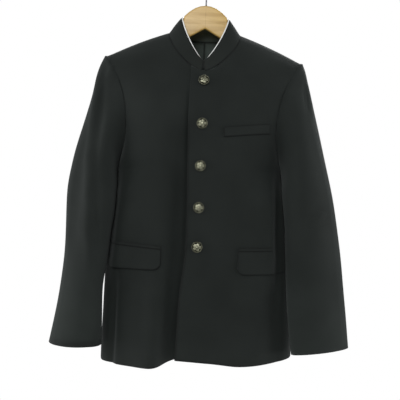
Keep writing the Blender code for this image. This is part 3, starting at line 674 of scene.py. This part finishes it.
def end_closing(points):
    """Share by which the collar's ends are drawn together. Below the notch's top they part instead."""
    near = COLLAR_CLOSING * bell(points[:, 0], COLLAR_CLOSING_HALF)
    near *= np.interp(points[:, 2], COLLAR_NOTCH_Z, (COLLAR_NOTCH, 1.0))
    return np.where(points[:, 1] < 0, near, 0)


def end_drop(points):
    """How far the collar's ends reach down over the top of the fronts, at centre front."""
    inward = np.clip(1 - abs(points[:, 0]) / COLLAR_END_WIDTH, 0, 1) * (points[:, 1] < 0)
    low = share_of(points[:, 2], *COLLAR_END_Z)
    return (inward * low)[:, None] * np.array(COLLAR_END_DROP)


def flap_drop(points):
    """How far a flap hangs lower toward its outer end, more at its bottom edge than at its top."""
    outward = (abs(points[:, 0]) - abs(points[:, 0]).min()) / np.ptp(points[:, 0])
    down = (points[:, 2].max() - points[:, 2]) / np.ptp(points[:, 2])
    return FLAP_DROP * outward * down


def box_out(points):
    """How far a front stands forward beside a sleeve, where it stays flat before it turns to the side."""
    z = points[:, 2]
    middle = np.interp(z, SIDE_FOLD_Z, SIDE_FOLD_X) + np.where(points[:, 0] > 0, SIDE_FOLD_LEFT, 0)
    rise = np.interp(z, SIDE_FOLD_Z, SIDE_FOLD_RISE)
    off = abs(points[:, 0]) - middle
    return SIDE_FOLD_OUT * rise * bell(off, np.where(off < 0, *SIDE_FOLD_HALF))


def shifted(node, points):
    """A piece's points after the larger moves of its cloth."""
    points = points.copy()
    if node.startswith(("front", "pocket")):
        points[:, 1] -= box_out(points)
    if node == DROPPED:
        points[:, 2] -= flap_drop(points)
    if node == "collar":
        points[:, 0] *= 1 - end_closing(points)
        points += end_drop(points)
    if node == LAPPED:
        points[:, 2] += lap_rise(points)
    return points


def ways_of(mesh, kinds, kind):
    """Which points lie on faces of one kind, and the mean direction of those faces at each."""
    inside = np.zeros(len(mesh.vertices), bool)
    ways = np.zeros((len(mesh.vertices), 3))
    for face, its_kind in zip(mesh.polygons, kinds):
        if its_kind == kind:
            corners = list(face.vertices)
            inside[corners] = True
            ways[corners] += np.array(face.normal) * face.area
    ways[inside] /= np.linalg.norm(ways[inside], axis=1, keepdims=True)
    return inside, ways


def edge_marks(row, points, to_rim):
    """How dark an edge's line of painted shade is and how far the cloth is pressed down there, softer at the
    lap's top.
    """
    dark = bell(to_rim, row.line)
    pressed = bell(to_rim, PRESS_WIDTH)
    if row.node == LAPPED:
        over = points[:, 0] < LAP_INNER_X
        line = share_of(points[:, 2], *LAP_LINE_Z)[over]
        dark[over] *= line
        pressed[over] = LAP_SINK * (1 - line) * bell(to_rim[over], LAP_SINK_WIDTH)
    return dark, pressed


def cloth(row):
    """A cloth piece: the CAD wall made finer, shifted, pressed along its edges and creased."""
    obj = subdivided(row.node, "cloth_" + row.node, row.levels)
    mesh = obj.data
    points = shifted(row.node, points_of(mesh) / MM)
    kinds = np.empty(len(mesh.polygons), np.int32)
    mesh.polygons.foreach_get("material_index", kinds)
    outer, normals = ways_of(mesh, kinds, OUTER)
    rim, sideways = ways_of(mesh, kinds, RIM)
    face, facing = points[outer], normals[outer]
    index = nearest(points, face)[0]
    to_rim = nearest(face, points[rim & outer])[1]
    dark, pressed = edge_marks(row, face, to_rim)
    lift = crease_lift(row.node, face, facing) - row.press * pressed * abs(facing[:, 1])
    lift += row.flare * (face[:, 2].max() - face[:, 2]) / np.ptp(face[:, 2])
    closing = COLLAR_SEAM_CLOSING if row.node == "collar" else SEAM_CLOSING
    moved = points + (facing * lift[:, None])[index] + sideways * closing
    mesh.vertices.foreach_set("co", (moved * MM).astype(np.float32).ravel())
    # painted shade along seams, edges and rims, which darkens the wool's colour
    painted_shade_marks = mesh.attributes.new("edge", "FLOAT", "POINT")
    painted_shade_marks.data.foreach_set("value", dark[index].astype(np.float32))
    # inner faces: a paler lining that is partly painted light
    lining = mesh.attributes.new("lining", "FLOAT", "FACE")
    lining.data.foreach_set("value", (kinds == INNER).astype(np.float32))
    mesh.polygons.foreach_set("material_index", np.zeros(len(kinds), np.int32))
    mesh.shade_smooth()
    mesh.set_sharp_from_angle(angle=math.radians(RIM_ANGLE))
    mesh.update()
    finish_piece(obj, row.node, row.slot)
    return obj


def build_cloth():
    pieces = {row.node: cloth(row) for row in SHELLS}


# Trim, buttons and hanger

def draw_out(solid, sides, reach):
    """Draws out both ends of a wire, which lie either side of the middle of the front."""
    for side in (-1, 1):
        ahead = [v for v in solid.verts if v.co.y < 0 and v.co.x * side > 0]
        ahead.sort(key=lambda v: abs(v.co.x))
        end, before = ahead[:sides], ahead[sides:2 * sides]
        way = sum((v.co for v in end), Vector()) - sum((v.co for v in before), Vector())
        for vertex in end:
            vertex.co += way.normalized() * reach * MM


def wire(node, name, slot, reach=0.0):
    """A round CAD piece made smoother on the same form, its ends drawn out by a reach."""
    solid = welded(node)
    if reach:
        draw_out(solid, PIPING_SIDES, reach)
    keep_edges(solid, WIRE_CREASE_ANGLE)
    obj = linked_mesh(solid, name)
    add_levels(obj, WIRE_LEVELS)
    apply_modifiers(obj)
    obj.data.shade_smooth()
    obj.data.set_sharp_from_angle(angle=math.radians(WIRE_SHARP_ANGLE))
    finish_piece(obj, node, slot)


def step_up(rise, slope):
    """From 0 to 1 up the sloped side of a raised form."""
    return max(0.0, min(1.0, rise / slope))


def petal_relief(radius, angle):
    """Raised plain rosette of the button's face, from 0 in the recesses to 1 on the petals."""
    swing = abs(math.cos(PETALS * angle / 2))
    reach = PETAL_NECK + PETAL_GROWTH * swing**PETAL_ROUNDNESS
    petal = step_up(reach - radius, PETAL_SLOPE) * step_up(radius - PETAL_START, PETAL_START_SLOPE)
    vein = 1 - VEIN_DEPTH * bell(swing - 1, VEIN_WIDTH)
    boss = step_up(BOSS_RADIUS - radius, BOSS_SLOPE)
    beads = (1 + math.cos(BEADS * angle)) / 2
    ring = bell(radius - BEAD_RING_RADIUS, BEAD_RING_HALF) * (1 - BEAD_DEPTH + BEAD_DEPTH * beads)
    return max(petal * vein * (PETAL_LOW + (1 - PETAL_LOW) * swing), boss, ring)


def button(number):
    """A domed brass button with a beaded rim and a rosette, turned about the CAD button's own axis."""
    node = f"button_{number}"
    solid = points_of(frame["nodes"][node].data)
    centre = (solid.max(axis=0) + solid.min(axis=0)) / 2
    thin = np.linalg.svd(solid - solid.mean(axis=0))[2][2]
    way = Vector(thin if thin[1] < 0 else -thin)
    across = Vector((1, 0, 0))
    up = way.cross(across).normalized()
    profile = np.array(BUTTON_PROFILE)
    lengths = np.concatenate([[0], np.cumsum(np.hypot(*np.diff(profile, axis=0).T))])
    along = np.linspace(0, lengths[-1], BUTTON_RINGS)
    radii, levels = (np.interp(along, lengths, column) for column in profile.T)
    base = ((solid - centre) @ np.array(way)).min() / MM - levels.min()
    turned = bmesh.new()
    relief = turned.verts.layers.float.new("relief")
    rings = []
    for i, (radius, level) in enumerate(zip(radii, levels)):
        on_face = along[i] < lengths[BUTTON_FACE_END]
        ring = []
        for k in range(BUTTON_STEPS if 0 < i < BUTTON_RINGS - 1 else 1):
            angle = 2 * math.pi * k / BUTTON_STEPS
            raised = petal_relief(radius, angle) if on_face else PLAIN_RELIEF
            height = base + level + (RELIEF_HEIGHT * raised if on_face else 0.0)
            flat = across * (math.cos(angle) * radius) + up * (math.sin(angle) * radius)
            vertex = turned.verts.new(Vector(centre) + (flat + way * height) * MM)
            vertex[relief] = raised
            ring.append(vertex)
        rings.append(ring)
    for first, second in zip(rings, rings[1:]):
        for k in range(BUTTON_STEPS):
            a, b = first[k % len(first)], first[(k + 1) % len(first)]
            c, d = second[(k + 1) % len(second)], second[k % len(second)]
            turned.faces.new(list(dict.fromkeys((a, d, c, b))))
    bmesh.ops.recalc_face_normals(turned, faces=turned.faces)
    obj = linked_mesh(turned, f"brass_{node}")
    obj.data.shade_smooth()
    finish_piece(obj, node, "antique_brass")


def hanger():
    """The wooden hanger with its edges rounded over, on the CAD outline."""
    solid = welded("hanger_body")
    bmesh.ops.dissolve_limit(solid, angle_limit=math.radians(WOOD_FLAT_ANGLE), verts=solid.verts,
                             edges=solid.edges)
    obj = linked_mesh(solid, "hanger_wood")
    rounding = obj.modifiers.new("rounding", "BEVEL")
    rounding.width = WOOD_ROUNDING * MM
    rounding.segments = WOOD_ROUNDING_STEPS
    rounding.limit_method = "ANGLE"
    rounding.angle_limit = math.radians(WOOD_EDGE_ANGLE)
    apply_modifiers(obj)
    obj.data.shade_smooth()
    obj.data.set_sharp_from_angle(angle=math.radians(WOOD_SHARP_ANGLE))
    finish_piece(obj, "hanger_body", "pale_wood")


# Stage, light and camera

def build_stage():
    angles = [2 * math.pi * i / FLOOR_SIDES for i in range(FLOOR_SIDES)]
    ring = [(FLOOR_RADIUS * math.cos(angle), FLOOR_RADIUS * math.sin(angle), 0) for angle in angles]
    mesh = bpy.data.meshes.new("floor")
    mesh.from_pydata(ring, [], [list(range(FLOOR_SIDES))])
    mesh.materials.append(floor_finish("pale_floor"))
    floor = link("floor", mesh)
    floor.location = (0, 0, FLOOR_Z)


def build_light():
    """A white backdrop that lights softly, and the lamps."""
    world = bpy.data.worlds.new("studio")
    bpy.context.scene.world = world
    world.use_nodes = True
    nodes, links = world.node_tree.nodes, world.node_tree.links
    soft = nodes["Background"]
    soft.inputs["Color"].default_value = SKY_COLOUR
    soft.inputs["Strength"].default_value = SKY_STRENGTH
    white = nodes.new("ShaderNodeBackground")
    white.inputs["Color"].default_value = (1, 1, 1, 1)
    seen = nodes.new("ShaderNodeLightPath")
    either = nodes.new("ShaderNodeMixShader")
    links.new(seen.outputs["Is Camera Ray"], either.inputs["Fac"])
    links.new(soft.outputs["Background"], either.inputs[1])
    links.new(white.outputs["Background"], either.inputs[2])
    links.new(either.outputs["Shader"], nodes["World Output"].inputs["Surface"])
    for row in LAMPS:
        data = bpy.data.lights.new(row.name, "AREA")
        data.size = row.size
        data.energy = row.power
        lamp = link(row.name, data)
        lamp.location = row.place
        lamp.rotation_euler = (Vector(row.target) - Vector(row.place)).to_track_quat("-Z", "Y").to_euler()
    bpy.context.scene.view_settings.view_transform = "Standard"


def build_camera():
    data = bpy.data.cameras.new("camera")
    data.sensor_width = SENSOR
    data.lens = SENSOR * -CAMERA_PLACE[1] / VIEW_WIDTH
    camera = link("camera", data)
    level = Matrix.Rotation(math.radians(90), 4, "X")
    roll = Matrix.Rotation(math.radians(CAMERA_ROLL), 4, "Z")
    camera.matrix_world = Matrix.Translation(CAMERA_PLACE) @ level @ roll
    bpy.context.scene.camera = camera


build_cloth()
wire("collar_piping", "piping_cord", "white_piping", PIPING_REACH)
wire("hanger_hook", "hook_wire", "steel_wire")
for number in range(1, BUTTONS + 1):
    button(number)
hanger()
build_stage()
build_light()
build_camera()

bpy.context.view_layer.update()
